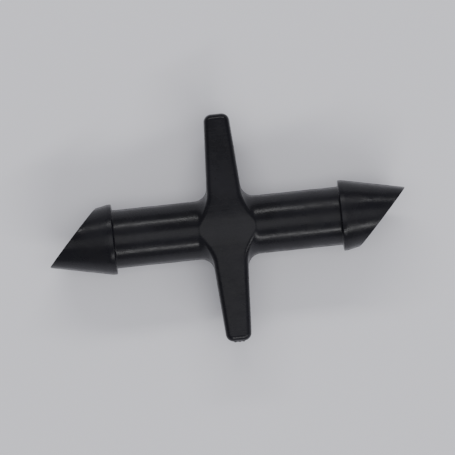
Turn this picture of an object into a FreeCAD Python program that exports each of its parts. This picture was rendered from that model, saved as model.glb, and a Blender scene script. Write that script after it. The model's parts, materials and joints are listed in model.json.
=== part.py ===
"""Straight barbed joiner for 4 x 6 mm micro tube, with a cross bar for the fingers. Millimetres.

The joiner is one injection moulding. Each region of it is written as a solid of its own, and
neighbouring regions meet face to face: a hub where the cross bar passes through, a barrel and an
obliquely cut barb head on each side, and the two arms of the cross bar. The tubes stop at the hub,
against the roots of the arms.

Frame: X runs along the water passage, Y along the cross bar, Z up. The origin is where the two
axes cross. The right tip lies on the +Y side and the left tip on the -Y side, so half a turn
about Z brings the joiner back onto itself.
"""

import FreeCAD
import Part

import math
import os

# Driving dimensions
OVERALL_LENGTH = 27.0  # tip to tip along X
CROSS_BAR_SPAN = 17.0  # end to end along Y
BORE_D = 2.5  # water passage
BARREL_D = 4.3  # shank that the tube closes on
BARB_D = 5.2  # sealing edge of each barb
HUB_LENGTH = 5.2  # along X, as far as the fillets of the arms reach and a little more

# Barb heads
SHOULDER_X = 8.5  # back face of each barb
SHOULDER_ROUND = 0.06
BARB_LAND = 0.3  # short cylindrical band behind the cone
TIP_OFFSET = 1.6  # distance of each tip from the X axis
MOUTH_ANGLE = 47.0  # between the oblique mouth and the X axis, in degrees

# Cross bar: it tapers straight towards both ends, and a slight crown joins the two tapers over
# the barrel, where the flat top of the bar passes just above it
BAR_WIDTH = (2.6, 1.8)  # along X, at the barrel's side and at the end of an arm
BAR_DEPTH = (4.0, 2.3)  # along Z, at the same two places
CROWN_RADIUS = 10.0
BAR_FILLET = 0.95  # between the bar's walls and the barrel
BAR_END_ROUND = 0.5  # upright corners of the ends
BAR_EDGE_ROUND = 0.4  # all round the top and the bottom
ARM_START = 3.4  # the hub ends and the arm begins at this distance along Y, past the fillet

bore_r = BORE_D / 2
barrel_r = BARREL_D / 2
barb_r = BARB_D / 2
hub_end = HUB_LENGTH / 2
tip_x = OVERALL_LENGTH / 2
arm_end = CROSS_BAR_SPAN / 2
REACH = OVERALL_LENGTH  # longer than any part of the joiner, for cutting tools

ORIGIN = FreeCAD.Vector(0, 0, 0)
X = FreeCAD.Vector(1, 0, 0)
Y = FreeCAD.Vector(0, 1, 0)
Z = FreeCAD.Vector(0, 0, 1)


def rod(radius, start, end):
    """A round rod on the X axis."""
    return Part.makeCylinder(radius, end - start, X * start, X)


def tube(radius, start, end):
    """A round rod on the X axis with the water passage through it."""
    return rod(radius, start, end).cut(rod(bore_r, start - 1, end + 1))


def half_turn(shape):
    """The same shape on the other side: half a turn about Z."""
    turned = shape.copy()
    turned.rotate(ORIGIN, Z, 180)
    return turned


def single(shape):
    """The one solid that a cut or a common left."""
    if len(shape.Solids) != 1:
        raise ValueError(f"expected one solid, found {len(shape.Solids)}")
    return shape.Solids[0]


def barb_head():
    """The right barb: a shoulder, a sealing land and a cone, cut off obliquely at the mouth."""
    land_end = SHOULDER_X + BARB_LAND
    slope = (barb_r - TIP_OFFSET) / (tip_x - land_end)
    past_tip = tip_x + 1
    outline = [
        (SHOULDER_X, bore_r),
        (SHOULDER_X, barb_r - SHOULDER_ROUND),
        (SHOULDER_X + SHOULDER_ROUND, barb_r),
        (land_end, barb_r),
        (past_tip, TIP_OFFSET - slope * (past_tip - tip_x)),
        (past_tip, bore_r),
    ]
    corners = [FreeCAD.Vector(x, r, 0) for x, r in outline]
    face = Part.Face(Part.makePolygon([*corners, corners[0]]))
    solid = face.revolve(ORIGIN, X, 360)
    return single(solid.cut(mouth_cutter()))


def mouth_cutter():
    """All that lies outside the oblique plane through the right tip, which runs parallel to Z."""
    angle = math.radians(MOUTH_ANGLE)
    tip = FreeCAD.Vector(tip_x, TIP_OFFSET, -REACH / 2)
    along = FreeCAD.Vector(math.cos(angle), math.sin(angle), 0)
    outward = FreeCAD.Vector(math.sin(angle), -math.cos(angle), 0)
    near, far = tip + along * REACH, tip - along * REACH
    corners = [near, far, far + outward * REACH, near + outward * REACH]
    face = Part.Face(Part.makePolygon([*corners, corners[0]]))
    return face.extrude(Z * REACH)


def crown(sizes):
    """Where the crown of a pair of tapers ends along Y, its half size there, and its slope."""
    root, end = sizes
    slope = (root - end) / 2 / (arm_end - barrel_r)
    reach = CROWN_RADIUS * math.sin(math.atan(slope))
    return reach, root / 2 + slope * (barrel_r - reach), slope


def half_size(sizes, y):
    """Half the width or the depth of the cross bar at a distance along Y."""
    reach, shoulder, slope = crown(sizes)
    if abs(y) > reach:
        return shoulder - slope * (abs(y) - reach)
    rise = math.sqrt(CROWN_RADIUS**2 - y**2) - math.sqrt(CROWN_RADIUS**2 - reach**2)
    return shoulder + rise


def bar_face(sizes, place):
    """Outline of the cross bar from one direction. place(y, half) puts its points in space."""
    reach = crown(sizes)[0]
    edges = []
    for side in (1, -1):
        stops = [side * y for y in (arm_end, reach, 0, -reach, -arm_end)]
        outer, near, middle, far, last = [place(y, side * half_size(sizes, y)) for y in stops]
        edges.append(Part.makeLine(outer, near))
        edges.append(Part.Arc(near, middle, far).toShape())
        edges.append(Part.makeLine(far, last))
        edges.append(Part.makeLine(last, place(stops[-1], -side * half_size(sizes, arm_end))))
    return Part.Face(Part.Wire(edges))


def points_on(edge):
    """Seven points along an edge."""
    start, end = edge.ParameterRange
    return [edge.valueAt(start + (end - start) * k / 6) for k in range(7)]


def is_joint(edge):
    """True where a wall of the bar meets the barrel's round face."""
    widest = BAR_WIDTH[0] / 2 + 0.2
    return all(
        abs(math.hypot(p.y, p.z) - barrel_r) < 1e-4 and abs(p.x) < widest for p in points_on(edge)
    )


def is_end_corner(edge):
    """True for the upright edges at the two ends of the bar."""
    points = points_on(edge)
    upright = abs(points[0].x - points[-1].x) < 1e-6
    return upright and all(abs(abs(p.y) - arm_end) < 1e-6 for p in points)


def is_rim(edge):
    """True for the edges all round the bar's top and bottom, but not for those across it."""
    points = points_on(edge)
    inside = all(abs(p.y) < arm_end - 0.01 for p in points)
    across = abs(points[0].y - points[-1].y) < 1e-6 and inside
    return not across and all(abs(abs(p.z) - half_size(BAR_DEPTH, p.y)) < 1e-4 for p in points)


def cross_piece():
    """The middle of the barrel and both arms in one, with their fillets and rounded edges.

    The fillets are made on walls that are still too tall, and the side view then trims the bar
    to its true depth.
    """
    plan = bar_face(BAR_WIDTH, lambda y, half: FreeCAD.Vector(half, y, -BARREL_D))
    side = bar_face(BAR_DEPTH, lambda y, half: FreeCAD.Vector(-hub_end - 1, y, half))
    tall = rod(barrel_r, -hub_end, hub_end).fuse(plan.extrude(Z * 2 * BARREL_D))
    shape = tall.makeFillet(BAR_FILLET, [e for e in tall.Edges if is_joint(e)])
    shape = single(shape.common(side.extrude(X * 2 * (hub_end + 1))))
    shape = shape.makeFillet(BAR_END_ROUND, [e for e in shape.Edges if is_end_corner(e)])
    return shape.makeFillet(BAR_EDGE_ROUND, [e for e in shape.Edges if is_rim(e)])


def slab(start, end):
    """All the space between two planes square to Y."""
    return Part.makeBox(REACH, end - start, REACH, FreeCAD.Vector(-REACH / 2, start, -REACH / 2))


def main():
    cross = cross_piece()
    hub = single(cross.common(slab(-ARM_START, ARM_START)).cut(rod(bore_r, -REACH, REACH)))
    rear_arm = single(cross.common(slab(ARM_START, REACH)))
    right_barrel = tube(barrel_r, hub_end, SHOULDER_X)
    right_barb = barb_head()

    nodes = {
        "centre_hub": hub,
        "rear_grip_arm": rear_arm,
        "front_grip_arm": half_turn(rear_arm),
        "right_barrel": right_barrel,
        "left_barrel": half_turn(right_barrel),
        "right_barb": right_barb,
        "left_barb": half_turn(right_barb),
    }
    os.makedirs("parts", exist_ok=True)
    for name, shape in nodes.items():
        shape.exportStep(f"parts/{name}.step")
        print(f"{name}: {shape.Volume:.2f} mm3, valid {shape.isValid()}")


main()
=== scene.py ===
"""Looks of the straight barbed joiner: skins with mould detail for every CAD node, black plastic,
a pale floor, soft studio light and a camera that looks straight down on it.

The skins are drawn in millimetres, and to_object() turns them into metres. The material and the
stage are in metres. X runs along the water passage, Y along the cross bar and Z up, as in the CAD.
"""

import json
import math

import bpy
import numpy as np
from mathutils import Euler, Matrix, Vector


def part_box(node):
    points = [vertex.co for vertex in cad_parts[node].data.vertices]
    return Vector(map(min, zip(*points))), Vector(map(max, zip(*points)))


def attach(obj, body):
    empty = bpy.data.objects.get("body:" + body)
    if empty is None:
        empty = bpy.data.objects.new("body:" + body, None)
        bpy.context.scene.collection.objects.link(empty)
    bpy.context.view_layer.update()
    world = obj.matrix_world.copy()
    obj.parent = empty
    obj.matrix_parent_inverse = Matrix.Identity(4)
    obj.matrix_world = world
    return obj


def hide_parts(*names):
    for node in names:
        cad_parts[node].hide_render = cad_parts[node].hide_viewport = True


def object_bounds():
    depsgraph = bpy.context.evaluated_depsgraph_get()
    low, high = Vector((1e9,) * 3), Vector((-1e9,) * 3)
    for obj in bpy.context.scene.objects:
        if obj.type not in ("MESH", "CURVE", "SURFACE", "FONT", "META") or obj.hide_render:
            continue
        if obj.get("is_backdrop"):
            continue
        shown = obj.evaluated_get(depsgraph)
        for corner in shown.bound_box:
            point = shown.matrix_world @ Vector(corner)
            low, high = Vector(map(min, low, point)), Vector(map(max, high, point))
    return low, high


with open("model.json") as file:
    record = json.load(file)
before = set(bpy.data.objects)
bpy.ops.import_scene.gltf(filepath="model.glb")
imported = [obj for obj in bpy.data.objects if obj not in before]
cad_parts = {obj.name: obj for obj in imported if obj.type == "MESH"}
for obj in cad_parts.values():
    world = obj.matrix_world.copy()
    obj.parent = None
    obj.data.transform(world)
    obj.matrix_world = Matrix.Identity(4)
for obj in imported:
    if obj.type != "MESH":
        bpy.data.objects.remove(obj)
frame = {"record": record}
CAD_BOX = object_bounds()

MM = 0.001


# ---- Sizes, read from the frame ------------------------------------------------------------

def corner_mm(node, which):
    """Lowest (0) or highest (1) corner of a CAD node, in millimetres."""
    return np.array(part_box(node)[which]) / MM


def mount_radius(name):
    """Radius that the record gives for a round mount, in millimetres."""
    mounts = {m["name"]: m for m in frame["record"]["mounts"]}
    return mounts[name]["dims"]["r_mm"]


bore_r = mount_radius("flow_bore")
barb_r = mount_radius("right_spigot_barb")
barrel_r = corner_mm("right_barrel", 1)[2]
hub_end, _, hub_top = corner_mm("centre_hub", 1)
shoulder_x = corner_mm("right_barb", 0)[0]
tip_x = corner_mm("right_barb", 1)[0]
arm_start = corner_mm("rear_grip_arm", 0)[1]
arm_end = corner_mm("rear_grip_arm", 1)[1]

# Shape of the barb heads
LAND = 0.3  # cylindrical band behind the cone
SHOULDER_ROUND = 0.07  # outer edge of the back face
TIP_OFFSET = 1.6  # distance of the right tip from the bore's axis, along Y
MOUTH_ANGLE = math.radians(47)  # between the oblique mouth and the X axis
MOUTH_ROUND = 0.05  # both edges of the mouth
CORNER_FLARE = 0.12  # small fillet where a barrel meets the barb

# Shape of the cross bar
BAR_WIDTH = (1.3, 0.9)  # half width along X, at the barrel's side and at the end of an arm
BAR_DEPTH = (2.0, 1.15)  # half depth along Z, at the same two places
CROWN_RADIUS = 10.0  # joins the two tapers over the barrel
BAR_FILLET = 0.95  # between the bar's walls and the barrel
BAR_END_ROUND = 0.5  # upright corners of the ends
BAR_EDGE_ROUND = 0.4  # all round the top and the bottom

# Marks of the mould
SEAM_HEIGHT = 0.035  # of the thin line at Z = 0
SEAM_WIDTH = 0.07
WAVE = 0.006  # how far the moulded skin wanders from the true surface
EJECTOR_R = 0.4
EJECTOR_DEPTH = 0.05
EJECTOR_EDGE = 0.025  # how softly the dent begins
EJECTOR_Y = 5.2  # distance of the dents from the barrel's axis
GATE_SIZE = (0.42, 0.3)  # half width and half height of the scar on the front arm's end
GATE_HEIGHT = 0.09
GATE_EDGE = 0.06  # how softly the scar begins, as a share of its size

# Fineness of the meshes
TURN_STEPS = 144  # even steps round the X axis
SEAM_STEPS = np.radians([0.7, 1.4, 2.1, 2.9, 3.8])  # more steps, this far to each side of a seam
STEP_GAP = math.radians(0.35)  # an even step that is closer than this to one of those is left out
SHARP_ANGLE = math.radians(35)
PITCH = 0.06  # cell of the grid that the hub and the arms are drawn on
ROOM = 4 * PITCH  # free space that the grid leaves round them
SETTLE_ROUNDS = 5  # how often the grid's points are moved towards the true skin
LEAST_SQUARE = 0.05  # the lowest squared slope that such a move is divided by
STEP = 0.001  # for slopes of the shape functions


# ---- Mesh helpers --------------------------------------------------------------------------

def to_object(name, points, faces, normals=None):
    """A smooth-shaded mesh object from points in millimetres.

    normals has one for each face corner. Without them, edges above SHARP_ANGLE stay sharp.
    """
    mesh = bpy.data.meshes.new(name)
    mesh.from_pydata((points * MM).tolist(), [], faces.tolist())
    mesh.update()
    mesh.polygons.foreach_set("use_smooth", [True] * len(mesh.polygons))
    if normals is None:
        mesh.set_sharp_from_angle(angle=SHARP_ANGLE)
    else:
        mesh.normals_split_custom_set(normals.reshape(-1, 3).tolist())
    piece = bpy.data.objects.new(name, mesh)
    bpy.context.scene.collection.objects.link(piece)
    return piece


def seam(z):
    """Height of the thin line that the mould's parting plane leaves at Z = 0."""
    return SEAM_HEIGHT * np.exp(-(z / SEAM_WIDTH) ** 2)


def wander(x, y, z):
    """Slow, slight unevenness of a moulded surface."""
    first = np.sin(1.3 * x + 0.9 * y + 0.4) * np.sin(1.1 * z - 0.7 * x + 1.9)
    second = np.sin(2.9 * x - 2.3 * z) * np.sin(2.1 * y + 1.7 * x + 0.8)
    return WAVE * (first + 0.5 * second)


# ---- Round parts: barrels and barb heads ---------------------------------------------------

def angles():
    """Angles round the X axis from +Y, closer together at the two seams."""
    even = np.linspace(0, 2 * np.pi, TURN_STEPS, endpoint=False)
    near = [s * k + base for base in (0, np.pi) for s in (-1, 1) for k in SEAM_STEPS]
    kept = [a for a in even if all(abs(math.remainder(a - n, 2 * np.pi)) > STEP_GAP for n in near)]
    return np.sort(np.mod(np.array([*kept, *near]), 2 * np.pi))


def lathe(name, profile_at, side):
    """A closed ring-shaped skin: profile_at(angle) gives x, radius and how much mould detail.

    The profile is that of the right side, and the left side is half a turn about Z away.
    """
    turns = angles()
    rings = np.array([profile_at(a) for a in turns])
    x, r, detail = rings[..., 0], rings[..., 1], rings[..., 2]
    half_turn = {"right": 1, "left": -1}[side]
    x = half_turn * x
    cos, sin = half_turn * np.cos(turns)[:, None], np.sin(turns)[:, None]
    r = r + detail * (seam(r * sin) + wander(x, r * cos, r * sin))
    points = np.stack([x, r * cos, r * sin], axis=-1)
    n, m = x.shape
    index = np.arange(n * m).reshape(n, m)
    across, along = np.roll(index, -1, axis=0), np.roll(index, -1, axis=1)
    both = np.roll(across, -1, axis=1)
    faces = np.stack([index, along, both, across], axis=-1).reshape(-1, 4)
    return to_object(name, points.reshape(-1, 3), faces)


def span(start, end, count, detail):
    """Profile points on a straight line, the last one left out."""
    t = np.linspace(0, 1, count, endpoint=False)[:, None]
    line = np.array(start) * (1 - t) + np.array(end) * t
    return [(x, r, detail) for x, r in line]


def bend(centre, radius, start, end, count, detail=1.0):
    """Profile points on an arc, the last one left out."""
    turn = np.linspace(math.radians(start), math.radians(end), count, endpoint=False)
    return [(centre[0] + radius * math.cos(a), centre[1] + radius * math.sin(a), detail)
            for a in turn]


def corner(point, towards, away, size):
    """A small rounding of a profile's corner, between two directions from it."""
    first, last = point + towards * size, point + away * size
    t = np.linspace(0, 1, 5)[:, None]
    curve = first * (1 - t) ** 2 + 2 * point * t * (1 - t) + last * t ** 2
    return [(x, r, 0) for x, r in curve]


def barrel_profile(_angle):
    """Plain tube with a small flare where it meets the barb's shoulder."""
    flare = CORNER_FLARE
    low, high = hub_end, shoulder_x
    top = barrel_r + flare
    return [
        *span((low, bore_r), (high, bore_r), 24, 0),
        *span((high, bore_r), (high, top), 3, 0),
        *bend((high - flare, top), flare, 360, 270, 7),
        *span((high - flare, barrel_r), (low, barrel_r), 80, 1),
        *span((low, barrel_r), (low, bore_r), 3, 0),
    ]


def mouth_x(y):
    """Where the right mouth's oblique plane is, at a height along Y."""
    return tip_x - (TIP_OFFSET - y) / math.tan(MOUTH_ANGLE)


def barb_profile(angle):
    """Along the bore, over the oblique mouth, and back along the cone, the land and the shoulder."""
    slope = (barb_r - TIP_OFFSET) / (tip_x - shoulder_x - LAND)
    land_end = shoulder_x + LAND
    cos, tan = math.cos(angle), math.tan(MOUTH_ANGLE)
    # The rim is where the cone, r = barb_r - slope (x - land_end), meets x = mouth_x(r cos)
    rim_r = (barb_r - slope * (mouth_x(0) - land_end)) / (1 + slope * cos / tan)
    rim = np.array([mouth_x(rim_r * cos), rim_r])
    inner = np.array([mouth_x(bore_r * cos), bore_r])
    face = (rim - inner) / np.linalg.norm(rim - inner)
    cone = np.array([-1, slope]) / math.hypot(1, slope)
    back = np.array([-1.0, 0.0])
    # The roundings are smaller where the wall is thin, and the flats start a little past them
    ease = min(MOUTH_ROUND, (rim_r - bore_r) / 4)
    past = ease * 1.5
    return [
        *span((shoulder_x, bore_r), inner + back * ease, 24, 0),
        *corner(inner, back, face, ease),
        *span(inner + face * past, rim - face * past, 10, 0),
        *corner(rim, -face, cone, ease),
        *span(rim + cone * past, (land_end, barb_r), 40, 1),
        *span((land_end, barb_r), (shoulder_x + SHOULDER_ROUND, barb_r), 4, 1),
        *bend((shoulder_x + SHOULDER_ROUND, barb_r - SHOULDER_ROUND), SHOULDER_ROUND, 90, 180, 5),
        *span((shoulder_x, barb_r - SHOULDER_ROUND), (shoulder_x, bore_r), 8, 0),
    ]


# ---- Hub and arms, as one shape function ---------------------------------------------------

def true_radius(radius, cosine):
    """Radius to use in the blends below, which are exact where two surfaces meet squarely.

    cosine is that of the angle between the surfaces' normals. Towards a tangent meeting the
    blend has to shrink to stay a round of the wanted radius.
    """
    half = np.sqrt((1 + np.clip(cosine, -1, 1)) / 2)
    return radius * np.clip((1 - half) / (1 - math.sqrt(0.5)), 0, 1) + 1e-6


def overlap(a, b, radius):
    """What two shapes have in common, with rounded edges."""
    outside = np.hypot(np.maximum(a + radius, 0), np.maximum(b + radius, 0))
    return outside + np.minimum(np.maximum(a, b) + radius, 0) - radius


def tapered(offset, half, y):
    """Distance to the bar's flanks, which taper from the barrel and have a crown over it.

    offset is a point's x or z, and half is BAR_WIDTH or BAR_DEPTH.
    """
    root, end = half
    slope = (root - end) / (arm_end - barrel_r)
    cosine = 1 / math.hypot(1, slope)
    reach = CROWN_RADIUS * slope * cosine
    straight = root + slope * (barrel_r - np.maximum(abs(y), reach))
    inner = np.minimum(abs(y), reach)
    rise = np.sqrt(CROWN_RADIUS ** 2 - inner ** 2) - CROWN_RADIUS * cosine
    return (abs(offset) - straight - rise) * cosine


def cross_shape(p):
    """Distance to the skin of the hub and the two arms: below 0 inside the plastic."""
    x, y, z = p.T
    r = np.maximum(np.hypot(y, z), 1e-9)
    barrel = r - barrel_r
    bar = overlap(tapered(x, BAR_WIDTH, y), abs(y) - arm_end, BAR_END_ROUND)
    # The barrel and a bar without top or bottom, with a fillet between them
    near_barrel, near_bar = (np.maximum(BAR_FILLET - d, 0) for d in (barrel, bar))
    near = np.hypot(near_barrel, near_bar)
    tall = np.maximum(BAR_FILLET, np.minimum(barrel, bar)) - near
    # How far that skin's normal turns towards Z, for the edges of the bar's top and bottom
    upward = near_barrel / np.maximum(near, 1e-9) * abs(z) / r
    trimmed = overlap(tall, tapered(z, BAR_DEPTH, y), true_radius(BAR_EDGE_ROUND, upward))
    skin = np.minimum(trimmed, barrel) - seam(z) - wander(x, y, z)
    return np.maximum(skin + ejector_marks(x, y, z) - gate_scar(x, y, z), bore_r - r)


def ejector_marks(x, y, z):
    """Shallow round dents under the arms, where the mould's pins pushed."""
    away = np.hypot(x, abs(y) - EJECTOR_Y)
    dent = 1 / (1 + np.exp((away - EJECTOR_R) / EJECTOR_EDGE))
    return np.where(z < 0, EJECTOR_DEPTH * dent, 0)


def gate_scar(x, y, z):
    """The broken-off stub of the feed, on the end of the front arm."""
    away = (abs(x / GATE_SIZE[0]) ** 4 + abs(z / GATE_SIZE[1]) ** 4) ** 0.25
    stub = 1 / (1 + np.exp((away - 1) / GATE_EDGE))
    rough = 0.75 + 0.25 * np.sin(19 * x + 1) * np.sin(23 * z + 2)
    return np.where(y < 0, GATE_HEIGHT * rough * stub, 0)


def slope_of(shape, p):
    """Gradient of a shape function at points."""
    steps = np.eye(3) * STEP
    return np.stack([(shape(p + s) - shape(p - s)) / (2 * STEP) for s in steps], axis=-1)


def crossings(value, axis):
    """Points on grid edges along an axis where a value changes sign, and the cells round each."""
    u, v = (axis + 1) % 3, (axis + 2) % 3
    before = np.take(value, range(value.shape[axis] - 1), axis)
    after = np.take(value, range(1, value.shape[axis]), axis)
    edge = np.argwhere((before < 0) != (after < 0))
    a, b = before[tuple(edge.T)], after[tuple(edge.T)]
    point = edge.astype(float)
    point[:, axis] += a / (a - b)
    ring = []
    for du, dv in [(1, 1), (0, 1), (0, 0), (1, 0)]:
        cell = edge.copy()
        cell[:, u] -= du
        cell[:, v] -= dv
        ring.append(np.ravel_multi_index(cell.T, value.shape))
    ring = np.array(ring).T
    ring[a > 0] = ring[a > 0][:, ::-1]
    return point, ring


def grid_skin(name, shape, half_size, cuts):
    """A closed skin round a shape function, cut square to X and Y at the given planes.

    One point goes in every grid cell that the skin crosses, and the four cells round a crossed
    grid edge make a face. The cuts run through the middle of a layer of cells, so their rims are
    exact. half_size is the box's half size, and cuts gives the lowest and highest plane for an
    axis number.
    """
    low, high = -np.array(half_size, float), np.array(half_size, float)
    pitch = np.full(3, PITCH)
    for axis, (start, end) in cuts.items():
        pitch[axis] = (end - start) / round((end - start) / PITCH)
        low[axis], high[axis] = start - 1.5 * pitch[axis], end + 1.5 * pitch[axis]
    counts = np.ceil((high - low) / pitch - 1e-6).astype(int) + 1
    grid = low + pitch * np.indices(counts).reshape(3, -1).T
    solid = shape(grid)
    value = solid.copy()
    for axis, (start, end) in cuts.items():
        value = np.maximum(value, np.maximum(start - grid[:, axis], grid[:, axis] - end))
    solid, value = solid.reshape(counts), value.reshape(counts)

    found = [crossings(value, axis) for axis in range(3)]
    rings = np.concatenate([ring for _, ring in found])
    where = np.concatenate([np.repeat(point[:, None], 4, axis=1) for point, _ in found])
    used, slot = np.unique(rings, return_inverse=True)
    slot = slot.reshape(-1)
    share = np.bincount(slot)
    mean = np.stack([np.bincount(slot, where[..., i].ravel()) / share for i in range(3)], axis=-1)
    cell = np.array(np.unravel_index(used, tuple(counts))).T
    corners = np.stack([solid[tuple((cell + o).T)] for o in np.ndindex(2, 2, 2)])
    crossed = (corners < 0).any(axis=0) & (corners >= 0).any(axis=0)
    layers = [(axis, cell[:, axis] == row, sign, plane)
              for axis, planes in cuts.items()
              for row, sign, plane in ((1, -1.0, planes[0]), (counts[axis] - 3, 1.0, planes[1]))]
    return settle(name, shape, low + pitch * mean, slot.reshape(-1, 4), crossed, layers)


def settle(name, shape, points, faces, crossed, layers):
    """Moves grid points onto the true skin, and gives each face corner the true normal."""
    for _ in range(SETTLE_ROUNDS):
        for axis, layer, _sign, plane in layers:
            points[layer, axis] = plane
        slope = slope_of(shape, points)
        for axis, layer, _sign, _plane in layers:
            slope[layer, axis] = 0
        square = np.maximum((slope ** 2).sum(axis=1), LEAST_SQUARE)
        points[crossed] -= ((shape(points) / square)[:, None] * slope)[crossed]
    slope = slope_of(shape, points)
    normal = slope / np.maximum(np.linalg.norm(slope, axis=1), 1e-9)[:, None]
    per_corner = normal[faces]
    for axis, layer, sign, _plane in layers:
        per_corner[layer[faces].all(axis=1)] = sign * np.eye(3)[axis]
    return to_object(name, points, faces, per_corner)


# ---- Pieces --------------------------------------------------------------------------------

def make_pieces():
    """Every skin, under the name of the CAD node that it stands for."""
    pieces = {}
    for side in ("right", "left"):
        pieces[f"{side}_barrel"] = lathe(f"{side}_barrel_skin", barrel_profile, side)
        pieces[f"{side}_barb"] = lathe(f"{side}_barb_skin", barb_profile, side)
    hub_box = (0, 0, hub_top + ROOM)
    hub_cuts = {0: (-hub_end, hub_end), 1: (-arm_start, arm_start)}
    pieces["centre_hub"] = grid_skin("centre_hub_skin", cross_shape, hub_box, hub_cuts)
    arm_box = (BAR_WIDTH[0] + ROOM, 0, BAR_DEPTH[0] + ROOM)
    past = arm_end + ROOM
    arm_cuts = {"rear_grip_arm": (arm_start, past), "front_grip_arm": (-past, -arm_start)}
    for node, cuts in arm_cuts.items():
        pieces[node] = grid_skin(f"{node}_skin", cross_shape, arm_box, {1: cuts})
    return pieces


# ---- Material ------------------------------------------------------------------------------

PLASTIC_IOR = 1.46
PLASTIC_SPECULAR = 0.26
DARK_TINT = (0.0048, 0.0046, 0.0070, 1)
LIGHT_TINT = (0.0088, 0.0085, 0.0122, 1)
STREAK_STRETCH = (0.06, 1, 1)  # streaks are longer along X


def black_plastic():
    """Satin black moulded plastic, with a fine grain, rubbed patches and faint streaks.

    The scales of the noises are cycles per metre.
    """
    material = bpy.data.materials.new("black_plastic")
    material.use_nodes = True
    nodes, links = material.node_tree.nodes, material.node_tree.links
    shader = nodes["Principled BSDF"]
    shader.inputs["IOR"].default_value = PLASTIC_IOR
    shader.inputs["Specular IOR Level"].default_value = PLASTIC_SPECULAR
    place = nodes.new("ShaderNodeTexCoord")

    def noise(scale, detail, rough=0.5, stretch=(1, 1, 1)):
        move = nodes.new("ShaderNodeMapping")
        move.inputs["Scale"].default_value = stretch
        links.new(place.outputs["Object"], move.inputs["Vector"])
        node = nodes.new("ShaderNodeTexNoise")
        node.inputs["Scale"].default_value = scale
        node.inputs["Detail"].default_value = detail
        node.inputs["Roughness"].default_value = rough
        links.new(move.outputs["Vector"], node.inputs["Vector"])
        return node.outputs["Fac"]

    def spread(source, low, high, start=0.3, end=0.7):
        node = nodes.new("ShaderNodeMapRange")
        node.inputs["From Min"].default_value = start
        node.inputs["From Max"].default_value = end
        node.inputs["To Min"].default_value = low
        node.inputs["To Max"].default_value = high
        links.new(source, node.inputs["Value"])
        return node.outputs["Result"]

    def combine(operation, first, second):
        node = nodes.new("ShaderNodeMath")
        node.operation = operation
        links.new(first, node.inputs[0])
        links.new(second, node.inputs[1])
        return node.outputs["Value"]

    def bump(height, strength, distance, below=None):
        node = nodes.new("ShaderNodeBump")
        node.inputs["Strength"].default_value = strength
        node.inputs["Distance"].default_value = distance
        links.new(height, node.inputs["Height"])
        if below is not None:
            links.new(below, node.inputs["Normal"])
        return node.outputs["Normal"]

    cloud = noise(420, 4)
    rubbed = spread(noise(260, 5, 0.6), 0.0, 1.0, 0.54, 0.66)
    streaks = noise(2600, 3, 0.6, STREAK_STRETCH)

    tint = nodes.new("ShaderNodeMix")
    tint.data_type = "RGBA"
    tint.inputs["A"].default_value = DARK_TINT
    tint.inputs["B"].default_value = LIGHT_TINT
    links.new(spread(cloud, 0.0, 1.0), tint.inputs["Factor"])
    links.new(tint.outputs["Result"], shader.inputs["Base Color"])

    gloss = combine("ADD", spread(noise(900, 5, 0.6), 0.2, 0.3), spread(streaks, -0.03, 0.05))
    worn = combine("MULTIPLY", rubbed, spread(noise(6000, 2), 0.04, 0.14))
    links.new(combine("ADD", gloss, worn), shader.inputs["Roughness"])

    grain = bump(noise(9000, 3), 0.45, 0.010 * MM)
    scuffs = bump(streaks, 0.24, 0.012 * MM, grain)
    ripple = bump(noise(1500, 2), 0.36, 0.020 * MM, scuffs)
    links.new(ripple, shader.inputs["Normal"])
    return material


# ---- Stage ---------------------------------------------------------------------------------

FLOOR_HALF = 0.6
FLOOR_COLOUR = (0.92, 0.915, 0.965, 1)
FLOOR_ROUGHNESS = 0.8
SOFTBOXES = {  # direction from the joiner, distance, size along X and across it, watts
    "overhead_softbox": ((0.0, -0.06, 1.0), 0.8, (0.9, 0.46), 1.8),
    "lower_softbox": ((0.3, -0.75, 0.58), 0.5, (0.5, 0.05), 0.95),
    "upper_softbox": ((0.0, 0.8, 0.6), 0.5, (0.5, 0.05), 0.8),
}
SURROUND_COLOUR = (0.82, 0.83, 0.88, 1)
SURROUND_STRENGTH = 0.4
LENS, SENSOR = 300, 36  # in millimetres
VIEW_WIDTH = 1.26  # times the joiner's length
VIEW_TURN = math.radians(-6)


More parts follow.
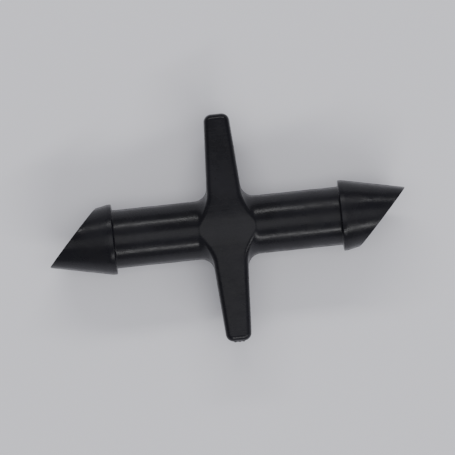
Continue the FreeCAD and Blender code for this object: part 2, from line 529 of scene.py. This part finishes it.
def floor():
    """A plain pale sheet that the joiner lies on."""
    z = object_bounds()[0][2]
    mesh = bpy.data.meshes.new("floor")
    signs = ((-1, -1), (1, -1), (1, 1), (-1, 1))
    corners = [(x * FLOOR_HALF, y * FLOOR_HALF, z) for x, y in signs]
    mesh.from_pydata(corners, [], [(0, 1, 2, 3)])
    sheet = bpy.data.objects.new("floor", mesh)
    bpy.context.scene.collection.objects.link(sheet)
    paper = bpy.data.materials.new("floor")
    paper.use_nodes = True
    shader = paper.node_tree.nodes["Principled BSDF"]
    shader.inputs["Base Color"].default_value = FLOOR_COLOUR
    shader.inputs["Roughness"].default_value = FLOOR_ROUGHNESS
    mesh.materials.append(paper)
    sheet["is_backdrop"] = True


def softbox(name, direction, distance, size, power):
    """A rectangular light that points at the joiner."""
    light = bpy.data.lights.new(name, "AREA")
    light.shape = "RECTANGLE"
    light.size, light.size_y = size
    light.energy = power
    lamp = bpy.data.objects.new(name, light)
    lamp.location = Vector(direction).normalized() * distance
    lamp.rotation_euler = (-lamp.location).to_track_quat("-Z", "Y").to_euler()
    bpy.context.scene.collection.objects.link(lamp)


def lights():
    """A wide soft light overhead, two soft strips along the joiner and an even grey surround."""
    for name, (direction, distance, size, power) in SOFTBOXES.items():
        softbox(name, direction, distance, size, power)
    world = bpy.data.worlds.new("surround")
    world.use_nodes = True
    sky = world.node_tree.nodes["Background"]
    sky.inputs["Color"].default_value = SURROUND_COLOUR
    sky.inputs["Strength"].default_value = SURROUND_STRENGTH
    bpy.context.scene.world = world


def camera():
    """Straight down on the joiner, turned so that its barrel rises a little to the right."""
    view = bpy.data.cameras.new("camera")
    view.lens = LENS
    view.sensor_width = SENSOR
    view.clip_start, view.clip_end = 0.01, 10
    width = (CAD_BOX[1][0] - CAD_BOX[0][0]) * VIEW_WIDTH
    distance = width * view.lens / view.sensor_width
    eye = bpy.data.objects.new("camera", view)
    eye.location = (0, 0, distance)
    eye.rotation_euler = Euler((0, 0, VIEW_TURN))
    bpy.context.scene.collection.objects.link(eye)
    bpy.context.scene.camera = eye


# ---- The scene -----------------------------------------------------------------------------

plastic = black_plastic()
for node, piece in make_pieces().items():
    piece.data.materials.append(plastic)
    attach(piece, "root")
    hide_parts(node)
floor()
lights()
camera()
